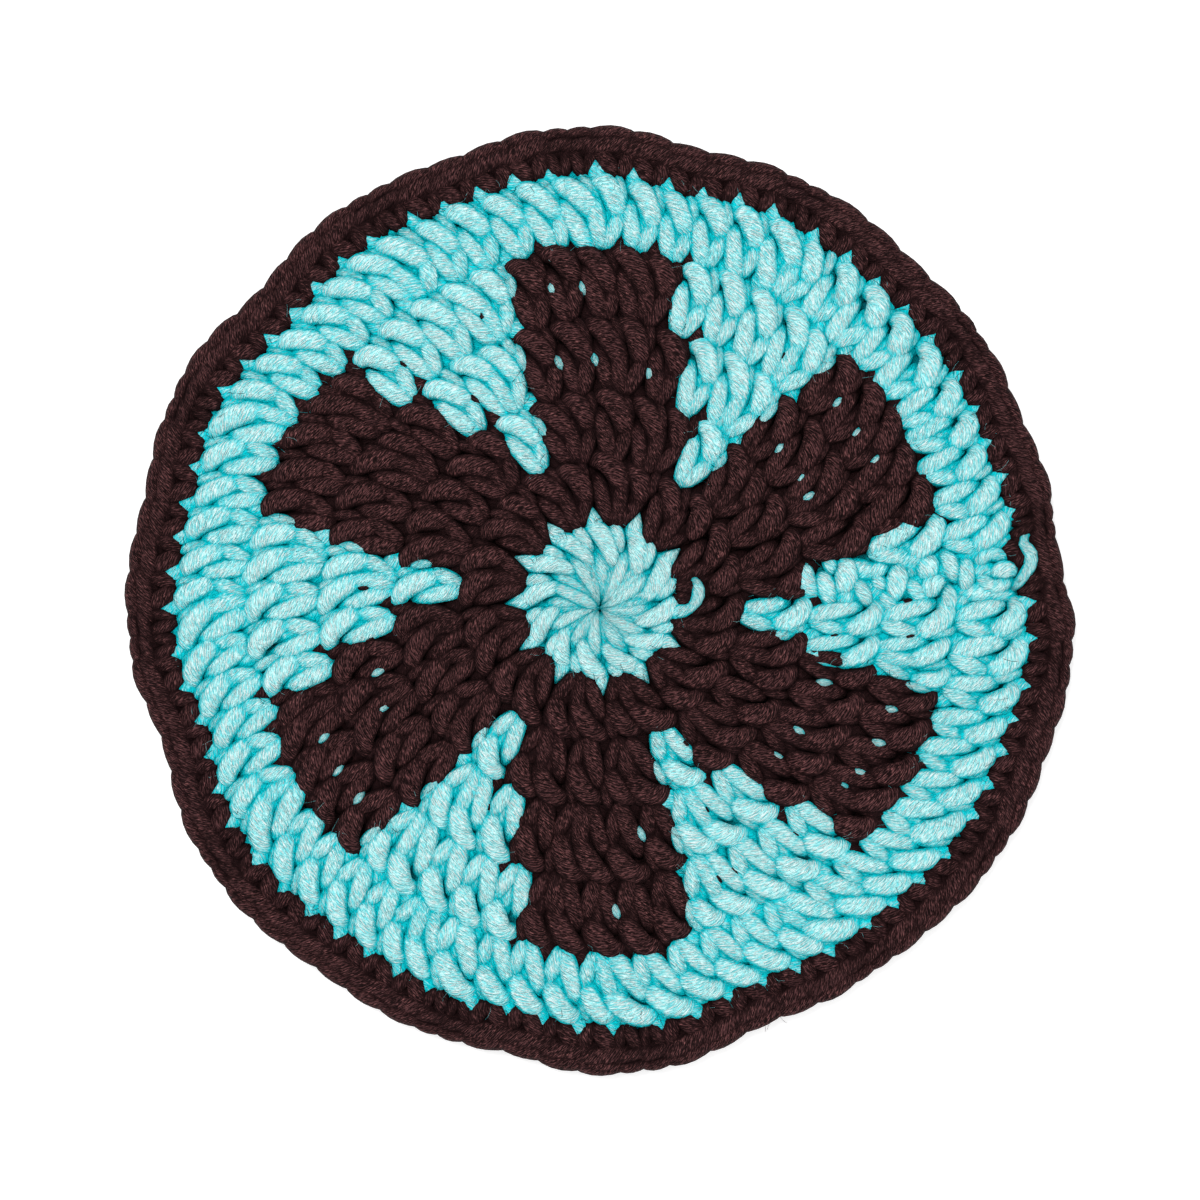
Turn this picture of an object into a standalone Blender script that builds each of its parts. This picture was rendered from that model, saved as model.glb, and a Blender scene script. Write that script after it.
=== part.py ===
"""A round crochet coaster, worked in one piece from its middle outwards.

Seven rounds of yarn stitches lie one outside the other. A round is a low ring-shaped ridge with one
rounded bump for each stitch, and a groove parts it from the next. Six rounds are tall stitches. The
seventh is a narrow edging: a row of short legs, then a chain that lies on its side like a rope. Each
round has twelve stitches more than the one inside it, which is what keeps the mat flat.

Metres, +Z up. The origin is at the middle of the underside, which rests on the table, and +Y is the
top of the flower pattern. Turns are counted clockwise from +Y, seen from above.
"""

import math
import random
from collections import namedtuple

import bmesh
import bpy

# Driving dimensions
THICKNESS = 0.0042  # two layers of yarn, from the table to the top of a stitch
MIDDLE_RADIUS = 0.0009  # the drawn-up ring that the first round grows from
UNEVEN = 0.00012  # how far one stitch stands above or below the next
SEED = 11

# The corners that a ring has for each stitch: one in the gap, two on the rounded back.
StitchCorner = namedtuple("StitchCorner", "along on_back")
STITCH_CORNERS = [StitchCorner(0.00, False), StitchCorner(0.30, True), StitchCorner(0.70, True)]

# The rounds of tall stitches, from the middle out: how many stitches, the radius where the round
# ends, where its first gap is, and how far round (in stitches) its bumps lean from foot to top.
Round = namedtuple("Round", "stitches outer_radius first_gap_degrees lean")
ROUNDS = [
    Round(12, 0.0098, 27.0, 0.00),
    Round(24, 0.0178, 27.0, 0.10),
    Round(36, 0.0262, 29.5, 0.15),
    Round(48, 0.0353, 27.0, 0.15),
    Round(60, 0.0443, 32.25, 0.15),
    Round(72, 0.0527, 29.25, 0.15),
]

# A round's section, as shares: how far across the round, and how high on a stitch and in the gap.
Section = namedtuple("Section", "across back_height gap_height")
SECTIONS = [
    Section(0.00, 0.56, 0.50),
    Section(0.22, 0.90, 0.58),
    Section(0.56, 1.00, 0.66),
    Section(0.86, 0.92, 0.62),
]

# The edging's section, from its legs to its foot: distance in from the rim, heights as above, how
# far a loop stands out past the gap beside it, and the lean of the chain's loops, in stitches.
EdgeSection = namedtuple("EdgeSection", "inset back_height gap_height stand_out lean")
EDGE_STITCHES = 84
EDGE_FIRST_GAP_DEGREES = 27.0
EDGING = [
    EdgeSection(0.0062, 0.58, 0.50, 0.0000, 0.00),
    EdgeSection(0.0050, 0.80, 0.54, 0.0000, 0.00),
    EdgeSection(0.0039, 0.64, 0.56, 0.0000, 0.10),
    EdgeSection(0.0027, 0.96, 0.78, 0.0000, 0.25),
    EdgeSection(0.0013, 0.98, 0.78, 0.0001, 0.50),
    EdgeSection(0.0003, 0.66, 0.56, 0.0002, 0.75),
    EdgeSection(0.0004, 0.24, 0.24, 0.0002, 0.90),
    EdgeSection(0.0017, 0.00, 0.00, 0.0000, 0.90),
]

# The rim wanders, because the increases of each round stack up into blunt corners: where each
# corner stands and how far it reaches, then the same for the shallow dip after it, clockwise.
Corner = namedtuple("Corner", "degrees reach dip_degrees dip_reach")
CORNERS = [
    Corner(27, 0.0590, 44, 0.0580),
    Corner(54, 0.0587, 67, 0.0577),
    Corner(77, 0.0585, 84, 0.0578),
    Corner(97, 0.0602, 109, 0.0595),
    Corner(119, 0.0600, 139, 0.0585),
    Corner(145, 0.0583, 158, 0.0572),
    Corner(177, 0.0600, 192, 0.0581),
    Corner(203, 0.0590, 216, 0.0586),
    Corner(235, 0.0600, 252, 0.0578),
    Corner(267, 0.0599, 284, 0.0588),
    Corner(297, 0.0600, 311, 0.0578),
    Corner(328, 0.0593, 341, 0.0586),
    Corner(357, 0.0599, 373, 0.0579),
]
MEAN_REACH = sum(c.reach + c.dip_reach for c in CORNERS) / (2 * len(CORNERS))

Colour = namedtuple("Colour", "red green blue roughness")
DARK_YARN = Colour(0.033, 0.013, 0.014, 0.9)


def rim_marks():
    """The corners and dips in order round the rim, with one more of them past each end."""
    marks = [(c.degrees % 360, c.reach) for c in CORNERS]
    marks += [(c.dip_degrees % 360, c.dip_reach) for c in CORNERS]
    marks.sort()
    before = (marks[-1][0] - 360, marks[-1][1])
    after = (marks[0][0] + 360, marks[0][1])
    return [before] + marks + [after]


RIM_MARKS = rim_marks()


def rim_reach(degrees):
    """The rim's distance from the middle at a clock angle, easing from corner to dip and back."""
    degrees %= 360
    for (start, low), (end, high) in zip(RIM_MARKS, RIM_MARKS[1:]):
        if start <= degrees <= end:
            eased = (1 - math.cos(math.pi * (degrees - start) / (end - start))) / 2
            return low + (high - low) * eased
    return MEAN_REACH


def place(radius, degrees, height):
    """A point at a clock angle, moved out or in from its true circle as the rim wanders."""
    radius += (rim_reach(degrees) - MEAN_REACH) * (radius / MEAN_REACH) ** 2
    angle = math.radians(degrees)
    return (radius * math.sin(angle), radius * math.cos(angle), height)


def add_ring(bm, stitches, radius, first_gap, section, lean, stand_out=0.0, chance=None):
    """A closed ring with its corners in the gaps and on the backs of the stitches. Returns its edges."""
    step = 360 / stitches
    segments = stitches * len(STITCH_CORNERS)
    verts = bmesh.ops.create_circle(bm, segments=segments, radius=radius)["verts"]
    for k, vert in enumerate(verts):
        stitch, which = divmod(k, len(STITCH_CORNERS))
        corner = STITCH_CORNERS[which]
        degrees = first_gap + (stitch + corner.along + lean) * step
        height = (section.back_height if corner.on_back else section.gap_height) * THICKNESS
        if corner.on_back and chance:
            height += chance.uniform(-1, 1) * UNEVEN
        vert.co = place(radius + (stand_out if corner.on_back else 0), degrees, height)
    return list({edge for vert in verts for edge in vert.link_edges})


def add_rounds(bm, chance):
    """The rings of the tall stitches. A round's first ring is the groove at its foot."""
    rings = []
    inner_radius = MIDDLE_RADIUS
    for round_ in ROUNDS:
        width = round_.outer_radius - inner_radius
        for section in SECTIONS:
            rings.append(add_ring(bm, round_.stitches, inner_radius + section.across * width,
                                  round_.first_gap_degrees, section, section.across * round_.lean,
                                  chance=chance if section.across > 0 else None))
        inner_radius = round_.outer_radius
    return rings


def add_edging(bm):
    """The rings of the edging, over the chain and down to the outline of the flat underside."""
    return [add_ring(bm, EDGE_STITCHES, MEAN_REACH - section.inset, EDGE_FIRST_GAP_DEGREES,
                     section, section.lean, stand_out=section.stand_out) for section in EDGING]


def build_mat():
    """Bridge every ring to the next, and close the middle of the top and the underside."""
    bm = bmesh.new()
    rings = add_rounds(bm, random.Random(SEED)) + add_edging(bm)
    for ring, next_ring in zip(rings, rings[1:]):
        bmesh.ops.bridge_loops(bm, edges=ring + next_ring)
    bmesh.ops.edgeloop_fill(bm, edges=rings[0])
    bmesh.ops.edgeloop_fill(bm, edges=rings[-1])
    bmesh.ops.recalc_face_normals(bm, faces=bm.faces[:])
    return bm


def centre(bm):
    """Slide the mat so that the middle of its underside is the origin."""
    xs = [vert.co.x for vert in bm.verts]
    ys = [vert.co.y for vert in bm.verts]
    offset = (-(min(xs) + max(xs)) / 2, -(min(ys) + max(ys)) / 2, 0)
    bmesh.ops.translate(bm, verts=bm.verts[:], vec=offset)


def yarn_material(name, colour):
    material = bpy.data.materials.new(name)
    material.use_nodes = True
    shader = material.node_tree.nodes["Principled BSDF"]
    shader.inputs["Base Color"].default_value = (colour.red, colour.green, colour.blue, 1)
    shader.inputs["Roughness"].default_value = colour.roughness
    shader.inputs["Metallic"].default_value = 0
    material.diffuse_color = (colour.red, colour.green, colour.blue, 1)
    return material


def main():
    for old in list(bpy.data.objects):
        bpy.data.objects.remove(old, do_unlink=True)
    collection = bpy.data.collections.new("Crochet coaster")
    bpy.context.scene.collection.children.link(collection)

    bm = build_mat()
    centre(bm)
    mesh = bpy.data.meshes.new("mat")
    bm.to_mesh(mesh)
    bm.free()
    mesh.shade_smooth()
    mesh.set_sharp_from_angle(angle=math.radians(70))
    mesh.materials.append(yarn_material("Dark yarn", DARK_YARN))
    collection.objects.link(bpy.data.objects.new("mat", mesh))


main()
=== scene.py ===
# %% [markdown]
# # A crochet coaster, strand by strand
#
# The real thing is one long piece of work: two soft cotton yarns, a dark and a light one, looped
# into seven rounds from the middle outwards. What makes it look like crochet isn't a pattern drawn on
# a disc. It is yarn that passes over and under itself and leaves deep little gaps between. So each
# stitch is built from its strands here. The light finds the gaps, and painted shade deepens them.
#
# The imported model gives the frame. Its one solid has the outline, the thickness and the origin, and
# the yarn built here stands in for it. Its lengths are in millimetres until a strand is laid.

# %% Load the frame
import math
from collections import namedtuple

import bmesh
import bpy
import numpy as np
from mathutils import Matrix, Vector


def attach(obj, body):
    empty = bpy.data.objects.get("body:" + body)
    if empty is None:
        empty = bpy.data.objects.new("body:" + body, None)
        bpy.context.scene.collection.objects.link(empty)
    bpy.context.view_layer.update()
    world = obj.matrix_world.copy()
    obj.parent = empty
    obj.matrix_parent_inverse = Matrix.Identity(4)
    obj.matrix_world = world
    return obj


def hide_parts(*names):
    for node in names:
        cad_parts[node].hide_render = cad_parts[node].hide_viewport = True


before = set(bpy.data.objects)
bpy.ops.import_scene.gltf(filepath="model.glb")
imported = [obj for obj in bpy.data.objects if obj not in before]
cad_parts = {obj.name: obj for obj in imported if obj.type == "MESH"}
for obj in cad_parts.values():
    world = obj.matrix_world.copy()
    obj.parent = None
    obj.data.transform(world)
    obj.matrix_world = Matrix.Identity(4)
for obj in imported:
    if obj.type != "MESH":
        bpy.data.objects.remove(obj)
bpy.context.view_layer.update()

MM = 0.001

# %% [markdown]
# ## Where things lie
#
# Round work is easiest to think of as a clock face. A place on it is a clock angle, in degrees
# clockwise from the top, and a distance from the middle. The real rim isn't a true circle: it wanders
# in and out by a millimetre where the increases stack up. The solid already has that outline, so its
# farthest point in each direction is read from it here. Every round inside is pulled along a little,
# less and less towards the middle.

# %% The rim, read from the solid
SMOOTHED = 5


def clock_angle(x, y):
    """Degrees clockwise from the top, from 0 to 360."""
    return math.degrees(math.atan2(x, y)) % 360


def read_rim():
    """How far the solid reaches at each whole degree of the clock, smoothed a little."""
    reach = np.zeros(360)
    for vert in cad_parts["mat"].data.vertices:
        degrees = clock_angle(vert.co.x, vert.co.y)
        distance = math.hypot(vert.co.x, vert.co.y) / MM
        for step in range(int(degrees) - 2, int(degrees) + 4):
            reach[step % 360] = max(reach[step % 360], distance)
    spread = np.hanning(2 * SMOOTHED + 1)
    wrapped = np.concatenate([reach[-SMOOTHED:], reach, reach[:SMOOTHED]])
    return np.convolve(wrapped, spread / spread.sum(), "valid")


RIM = read_rim()
MEAN_REACH = RIM.mean()
print(f"the rim is {RIM.min():.1f} to {RIM.max():.1f} mm from the middle, {MEAN_REACH:.1f} on average")

# %% [markdown]
# The first round grows out of a ring of yarn that was drawn up tight, and it closed a millimetre off
# the middle. So the foot of the round is pulled that way, and its top isn't.

# %% Places on the clock
KNOT = (-0.1, -1.0)
KNOT_REACH = 9.8


def clock_points(radius, degrees, height):
    """Points on the coaster, in metres, from distances and clock angles."""
    reach = np.interp(np.mod(degrees, 360), np.arange(361), np.append(RIM, RIM[0]))
    off = np.clip(1.0 - radius / KNOT_REACH, 0.0, 1.0)
    radius = radius + (reach - MEAN_REACH) * (radius / MEAN_REACH) ** 2
    angle = np.radians(degrees)
    x = radius * np.sin(angle) + KNOT[0] * off
    y = radius * np.cos(angle) + KNOT[1] * off
    return np.stack([x, y, height + 0.0 * x], axis=-1) * MM


print(f"the knot lies {math.hypot(*KNOT):.1f} mm off the middle")

# %% [markdown]
# ## Camera, floor and light
#
# The camera comes first, because every later choice is judged through it. It looks straight down from
# a third of a metre through a rather long lens, which suits flat work. A big soft light stands a
# little to the upper left and the whole room glows, so the shadows stay pale and only the gaps
# between the strands go dark, where painted shade is added too. The plain display transform keeps
# the light yarn's clear colour.

# %% Camera
scene = bpy.context.scene
scene.view_settings.view_transform = "Standard"
scene.view_settings.look = "None"


def put(name, data):
    """An object of the scene, from its mesh, its lamp or its camera."""
    thing = bpy.data.objects.new(name, data)
    scene.collection.objects.link(thing)
    return thing


FIELD = 0.1506
LENS = 85.0
FILM_WIDTH = 36.0
FOCUS_HEIGHT = 0.003
camera_data = bpy.data.cameras.new("camera")
camera_data.lens = LENS
camera_data.sensor_width = FILM_WIDTH
camera = put("camera", camera_data)
camera.location = (0.0, 0.0, FOCUS_HEIGHT + FIELD * LENS / FILM_WIDTH)
scene.camera = camera
print(f"the camera hangs {camera.location.z:.3f} m above the table")

# %% Light
world = bpy.data.worlds.new("room")
scene.world = world
world.use_nodes = True
glow = world.node_tree.nodes["Background"].inputs
glow["Color"].default_value = (1.0, 1.0, 1.0, 1.0)
glow["Strength"].default_value = 0.86


def softbox(name, place, size, power):
    """A square lamp that looks at the middle of the coaster."""
    data = bpy.data.lights.new(name, "AREA")
    data.size = size
    data.energy = power
    lamp = put(name, data)
    lamp.location = place
    lamp.rotation_euler = (-Vector(place)).to_track_quat("-Z", "Y").to_euler()


softbox("key_light", (-0.35, 0.50, 1.0), 0.5, 6.5)
softbox("fill_light", (0.6, -0.6, 0.8), 0.9, 2.0)
print("a room, a key light and a fill light")

# %% [markdown]
# ## The shader helpers
#
# Both yarns and the table are node graphs. A graph reads more easily as sums, so a small class wraps
# a socket and turns Python's operators into Math nodes. Every other node comes from one method that
# takes its type, its settings and the values of its sockets, and gives its outputs back in a list.

# %% Sums made of nodes
MIX_FACTOR, MIX_FIRST, MIX_SECOND = 0, 6, 7


class Value:
    """A number in a shader that changes over the surface."""

    def __init__(self, finish, socket):
        self.finish = finish
        self.socket = socket

    def math(self, operation, *others):
        values = dict(enumerate([self, *others]))
        return self.finish.node("ShaderNodeMath", {"operation": operation}, values)[0]

    def __add__(self, other):
        return self.math("ADD", other)

    def __sub__(self, other):
        return self.math("SUBTRACT", other)

    def __rsub__(self, other):
        return (self * -1.0) + other

    def __mul__(self, other):
        return self.math("MULTIPLY", other)

    __radd__ = __add__
    __rmul__ = __mul__

    def clip(self):
        return self.math("MAXIMUM", 0.0).math("MINIMUM", 1.0)


class Finish:
    """One material, and the nodes in it."""

    def __init__(self, name):
        self.material = bpy.data.materials.new(name)
        self.material.use_nodes = True
        self.tree = self.material.node_tree
        self.tree.nodes.clear()

    def node(self, kind, settings, values):
        """Make a node: its settings first, then the values or links of its sockets."""
        node = self.tree.nodes.new(kind)
        for key, value in settings.items():
            if key == "stops":
                ramp = node.color_ramp
                while len(ramp.elements) < len(value):
                    ramp.elements.new(0.5)
                for element, (at, colour) in zip(ramp.elements, value):
                    element.position = at
                    element.color = (*colour, 1.0)
            else:
                setattr(node, key, value)
        for key, value in values.items():
            if isinstance(value, Value):
                self.tree.links.new(value.socket, node.inputs[key])
            elif isinstance(value, tuple) and len(value) == 3 and node.inputs[key].type == "RGBA":
                node.inputs[key].default_value = (*value, 1.0)
            else:
                node.inputs[key].default_value = value
        return [Value(self, socket) for socket in node.outputs if socket.enabled]

    def blend(self, factor, first, second):
        """A colour between two, by a factor from 0 to 1."""
        return self.node("ShaderNodeMix", {"data_type": "RGBA", "clamp_factor": True},
                         {MIX_FACTOR: factor, MIX_FIRST: first, MIX_SECOND: second})[0]

    def noise(self, vector, scale, detail, roughness=0.5):
        return self.node("ShaderNodeTexNoise", {"noise_dimensions": "3D"},
                         {"Vector": vector, "Scale": scale, "Detail": detail,
                          "Roughness": roughness})[0]

    def vector(self, x, y, z):
        return self.node("ShaderNodeCombineXYZ", {}, {"X": x, "Y": y, "Z": z})[0]

    def surface(self, values):
        shader = self.node("ShaderNodeBsdfPrincipled", {}, values)[0]
        self.node("ShaderNodeOutputMaterial", {}, {"Surface": shader})
        return self.material


print("helpers for sums and nodes are ready")

# %% [markdown]
# ## The two yarns
#
# The yarn is soft cotton of many thin plies, laid together with a slow twist. Close up it shows
# slanting ridges, about twenty round, and between them single fibres that catch the light. The stray
# fibres are real, and their paler glint is painted. The strands carry a map that says how far round and
# how far along the yarn each point is, already sheared by the twist. Noise stretched along the yarn
# gives the threads and the stray hairs, and the same values feed the bump and the colour. So a ridge
# is lighter where it stands up, with a painted highlight on its crown and painted shade between,
# beside the bump's own shading. A slower noise wears the ridges away in patches. The strands also
# carry a number called crest: 1 where a point stands above the yarn around it, 0 where it lies in a
# crease and less in a hole. There the colour is painted shade, deep and clear, as light is after it
# has gone from strand to strand.

# %% A yarn's material
YARN_MAP = "yarn"
CREST = "crest"
RIDGES = 20
FIBRE_HEIGHT = 0.00036
NUMBER_OUTPUT = 2


def yarn(name, hole_shade, gap, deep, body, bright, fibre_glint, fibre_glint_amount, ridged):
    """A twisted yarn, with its colours from the painted shade of the holes and creases between
    strands to the painted glint of the stray fibres. The share `ridged` of its relief is ridges, and
    the rest is threads."""
    finish = Finish(name)
    uv = finish.node("ShaderNodeUVMap", {"uv_map": YARN_MAP}, {})[0]
    turned, along, _ = finish.node("ShaderNodeSeparateXYZ", {}, {0: uv})
    crest = finish.node("ShaderNodeAttribute", {"attribute_name": CREST}, {})[NUMBER_OUTPUT]

    def streaks(round_it, along_it, layer, detail=1.0, roughness=0.5):
        place = finish.vector(turned * round_it, along * along_it, layer)
        return finish.noise(place, 1.0, detail, roughness)

    wobble = streaks(9.0, 0.5, 0.0)
    ridge = ((turned * RIDGES + wobble * 2.2) * (2 * math.pi)).math("SINE") * 0.5 + 0.5
    ridge = ridge * ((streaks(7.0, 1.1, 7.0) - 0.22) * 3.2).clip()
    threads = ((streaks(32.0, 1.7, 3.0, 2.0, 0.6) - 0.39) * 4.4).clip()
    hairs = ((streaks(60.0, 2.2, 9.0) - 0.56) * 7.0).clip()
    mottle = streaks(4.0, 0.3, 5.0, 2.0)
    relief = ridge * ridged + threads * (1.0 - ridged)
    # The tone is partly the yarn's own patchy colour (the mottle) and partly painted: raised ridges and
    # threads are painted lighter as highlight, low ones darker as shade.
    tone = (relief * 1.2 + (mottle - 0.5) * 0.6 + 0.03).clip()
    colour = finish.node("ShaderNodeValToRGB", {"stops": [(0.0, deep), (0.5, body), (1.0, bright)]},
                         {"Fac": tone})[0]
    # The stray fibres are real, but their paler colour is a painted glint.
    colour = finish.blend(hairs * fibre_glint_amount, colour, fibre_glint)
    # Painted shade: low in a crease the colour goes to the crease shade, and deep in a hole to the darker
    # hole shade.
    height = ((crest + (threads - 0.5) * 0.25) * 2.2 - 1.18).clip()
    colour = finish.blend(height, gap, colour)
    colour = finish.blend((crest + 0.65).clip(), hole_shade, colour)
    bump = finish.node("ShaderNodeBump", {},
                       {"Strength": 1.0, "Distance": FIBRE_HEIGHT, "Height": relief + hairs * 0.25})[0]
    return finish.surface({"Base Color": colour, "Roughness": 0.75, "Normal": bump,
                           "Specular IOR Level": 0.08})


# Each yarn has painted shades for its creases and holes, and a painted glint for its stray fibres.
light_yarn = yarn("light_yarn_finish", hole_shade=(0.0, 0.17, 0.22), gap=(0.0, 0.70, 0.78),
                  deep=(0.22, 0.72, 0.77), body=(0.50, 1.0, 1.0), bright=(0.80, 1.0, 1.0),
                  fibre_glint=(0.96, 1.0, 1.0), fibre_glint_amount=0.4, ridged=0.5)
dark_yarn = yarn("dark_yarn_finish", hole_shade=(0.016, 0.0048, 0.0052), gap=(0.0150, 0.0046, 0.0050),
                 deep=(0.0034, 0.0007, 0.0008), body=(0.0115, 0.0036, 0.0039),
                 bright=(0.100, 0.038, 0.040), fibre_glint=(0.34, 0.130, 0.128),
                 fibre_glint_amount=0.9, ridged=0.5)
FINISHES = {True: light_yarn, False: dark_yarn}
print("two yarns:", light_yarn.name, dark_yarn.name)

# %% [markdown]
# ## The table
#
# A plain pale table top is all that lies under the coaster. It has a faint cloudiness, as painted
# board has, so that it isn't one flat tone. It also glows a little, as a light table does, though it
# is no lamp: painted light that leaves hardly any shadow round the work.

# %% Table top
OBJECT_OUTPUT = 3
TABLE_HALF, TABLE_BELOW = 1.5, 0.00005
table = Finish("table_top_finish")
place = table.node("ShaderNodeTexCoord", {}, {})[OBJECT_OUTPUT]
cloud = table.noise(place, 6.0, 2.0)
board = table.blend(cloud, (0.96, 0.96, 0.96), (1.0, 1.0, 1.0))
# The glow is painted light that fills the shadow round the coaster.
table.surface({"Base Color": board, "Roughness": 0.8, "Specular IOR Level": 0.2,
               "Emission Color": board, "Emission Strength": 0.30})


def mesh_of(bm, name):
    """Turn a bmesh into a mesh, and let it go."""
    mesh = bpy.data.meshes.new(name)
    bm.to_mesh(mesh)
    bm.free()
    return mesh


bm = bmesh.new()
bmesh.ops.create_grid(bm, x_segments=8, y_segments=8, size=TABLE_HALF)
bmesh.ops.translate(bm, vec=(0.0, 0.0, -TABLE_BELOW), verts=bm.verts)
floor = put("floor", mesh_of(bm, "floor"))
floor.data.materials.append(table.material)
print(f"the table top is {2 * TABLE_HALF:.0f} m square")

# %% [markdown]
# ## The pattern
#
# Twelve stitches start in a drawn-up ring of yarn, and each round adds twelve more by working twice
# into some stitches of the round below. The colours repeat six times round the clock: six dark
# petals, parted by light wedges that grow from one stitch to three to five, inside a light round. A
# crocheter writes that as a chart, and so does this script: a letter for each stitch of one repeat,
# clockwise, D for dark and L for light.

# %% The rounds and their chart
Round = namedtuple("Round", "name foot top first_gap stitches chart")
ROUNDS = [
    Round("first", 1.0, 9.8, 27.0, 12, "L"),
    Round("second", 9.8, 17.8, 27.0, 24, "D"),
    Round("third", 17.8, 26.2, 29.5, 36, "LDDDDD"),
    Round("fourth", 26.2, 35.3, 19.5, 48, "LLLDDDDD"),
    Round("fifth", 35.3, 44.3, 14.25, 60, "LLLLLDDDDD"),
    Round("sixth", 44.3, 52.8, 4.25, 72, "L"),
]
FOOT_SPREAD = 0.38


class Stitch(namedtuple("Stitch", "low high left right foot light before_light after_light")):
    """A stitch from its foot to its top, its yarn, and the yarns of those before and after it."""

    @property
    def middle(self):
        return (self.left + self.right) / 2

    def centre(self, upward):
        """The clock angle of its centre line, from 0 at the foot to 1 at the top."""
        return self.middle * upward + self.foot * (1 - upward)


def turn_between(start, end):
    """The shorter way round from one clock angle to another, clockwise if it is positive."""
    return (end - start + 180) % 360 - 180


def same_turn(degrees, other):
    """A clock angle, counted in the same turn of the clock as another one."""
    return degrees + round((other - degrees) / 360) * 360


def nearest(stitches, degrees, upward=1.0):
    """The stitch that is nearest to a clock angle, at its top or lower down."""
    return min(stitches, key=lambda stitch: abs(turn_between(degrees, stitch.centre(upward))))


def lay_out(round_, edges, below):
    """The stitches of a round. Each leans to the stitch of the round below that it is worked into,
    and two that share one stand close together at the foot."""
    stitches = []
    for index, (left, right) in enumerate(zip(edges, edges[1:])):
        middle = (left + right) / 2
        foot = middle
        if below:
            base = nearest(below, middle).middle
            foot = same_turn(base + turn_between(base, middle) * FOOT_SPREAD, middle)
        letters = [round_.chart[(index + shift) % len(round_.chart)] == "L" for shift in (0, -1, 1)]
        stitches.append(Stitch(round_.foot, round_.top, left, right, foot, *letters))
    return stitches


def even_edges(round_):
    step = 360 / round_.stitches
    return [round_.first_gap + step * index for index in range(round_.stitches + 1)]


print(sum(round_.stitches for round_ in ROUNDS), "tall stitches in", len(ROUNDS), "rounds")

# %% [markdown]
# Handwork isn't even, and part of its unevenness shows at first glance. In the sixth round, each
# stitch that the edging is worked into twice is pulled wide, and those between share what is left.
# The stitches of the first round differ in width. And beside the seam, where each round was joined,
# they make room: some are narrower, some feet move aside, and five stitches have no front, because
# the seam lies over them. An index counts the stitches of a round from its first gap, but those of
# the sixth from its first wide stitch, four stitches on.

# %% Uneven stitches
WIDE = {0: 26.9, 5: 54.5, 10: 80.6, 15: 98.0, 20: 123.0, 24: 143.5, 30: 174.7, 35: 200.5, 42: 235.4,
        48: 265.5, 54: 295.6, 61: 330.2, 66: 356.1, 72: 386.9}
WIDE_SPAN = 6.3
STITCHES_ON = 4
BY_THE_SEAM = [82.5, 85.0, 87.6, 90.0]
FIRST_BY_THE_SEAM = 11


def worked_twice_edges():
    """The tops of the sixth round, from the middles of its wide stitches."""
    edges = []
    for (first, at), (second, then) in zip(WIDE.items(), list(WIDE.items())[1:]):
        start, end = at + WIDE_SPAN / 2, then - WIDE_SPAN / 2
        edges += [at - WIDE_SPAN / 2]
        edges += list(np.linspace(start, end, second - first)[:-1])
    edges[FIRST_BY_THE_SEAM:FIRST_BY_THE_SEAM + len(BY_THE_SEAM)] = BY_THE_SEAM
    return edges + [edges[0] + 360]


MOVED_EDGES = {0: {0: 25.0, 1: 57.5, 2: 91.0, 3: 121.0, 4: 149.5, 5: 178.0, 6: 208.5, 7: 237.5,
                   8: 267.5, 9: 297.0, 10: 325.5, 11: 353.5, 12: 385.0},
               3: {9: 90.3, 10: 97.2, 11: 103.6},
               4: {10: 75.6, 11: 81.8, 12: 90.0, 13: 96.0, 14: 101.2, 15: 105.6}}
MOVED_FEET = {(4, 9): 74.5, (4, 10): 79.5, (5, 7): 62.4, (5, 8): 68.4, (5, 9): 74.0, (5, 10): 79.6,
              (5, 14): 92.8, (5, 15): 98.3, (5, 16): 103.8, (5, 17): 109.2, (5, 18): 114.7}
UNDER_THE_SEAM = {(3, 8), (4, 11), (5, 11), (5, 12), (5, 13)}


def edges_as_worked(number, round_):
    """Where the stitches of a round meet: evenly, but for those that were pulled aside."""
    edges = even_edges(round_)
    for index, degrees in MOVED_EDGES.get(number, {}).items():
        edges[index] = degrees
    return edges


layout = []
for number, round_ in enumerate(ROUNDS[:-1]):
    edges = edges_as_worked(number, round_)
    layout.append(lay_out(round_, edges, layout[-1] if layout else None))
even_sixth = lay_out(ROUNDS[-1], even_edges(ROUNDS[-1]), layout[-1])
sixth = lay_out(ROUNDS[-1], worked_twice_edges(), layout[-1])
feet = [stitch.foot for stitch in even_sixth[STITCHES_ON:] + even_sixth[:STITCHES_ON]]
layout.append([stitch._replace(foot=same_turn(foot, stitch.left))
               for stitch, foot in zip(sixth, feet)])
for (number, index), foot in MOVED_FEET.items():
    layout[number][index] = layout[number][index]._replace(foot=foot)
for round_, stitches in zip(ROUNDS, layout):
    print(round_.name, "round:", len(stitches), "stitches,",
          sum(stitch.light for stitch in stitches), "of them light")

# %% [markdown]
# ## A strand
#
# A strand of yarn between two points where it dives out of sight is a short soft sausage. One blank
# is made with operators: a stack of circles, bridged into a tube and filled at both ends. Every
# strand is a copy of a blank whose circles have been moved to follow a path. The section is a
# flattened ellipse, because worked yarn is pressed. Blanks have few faces, since they are repeated
# over three thousand times.

# %% Blanks
Blank = namedtuple("Blank", "mesh rings vert_cos vert_sin vert_ring loop_u loop_ring")


def turn_of(point):
    """How far round the tube a point lies, from 0 to 1, with the join of the map underneath."""
    return (math.atan2(point.y, point.x) / (2 * math.pi) + 0.25) % 1.0


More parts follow.
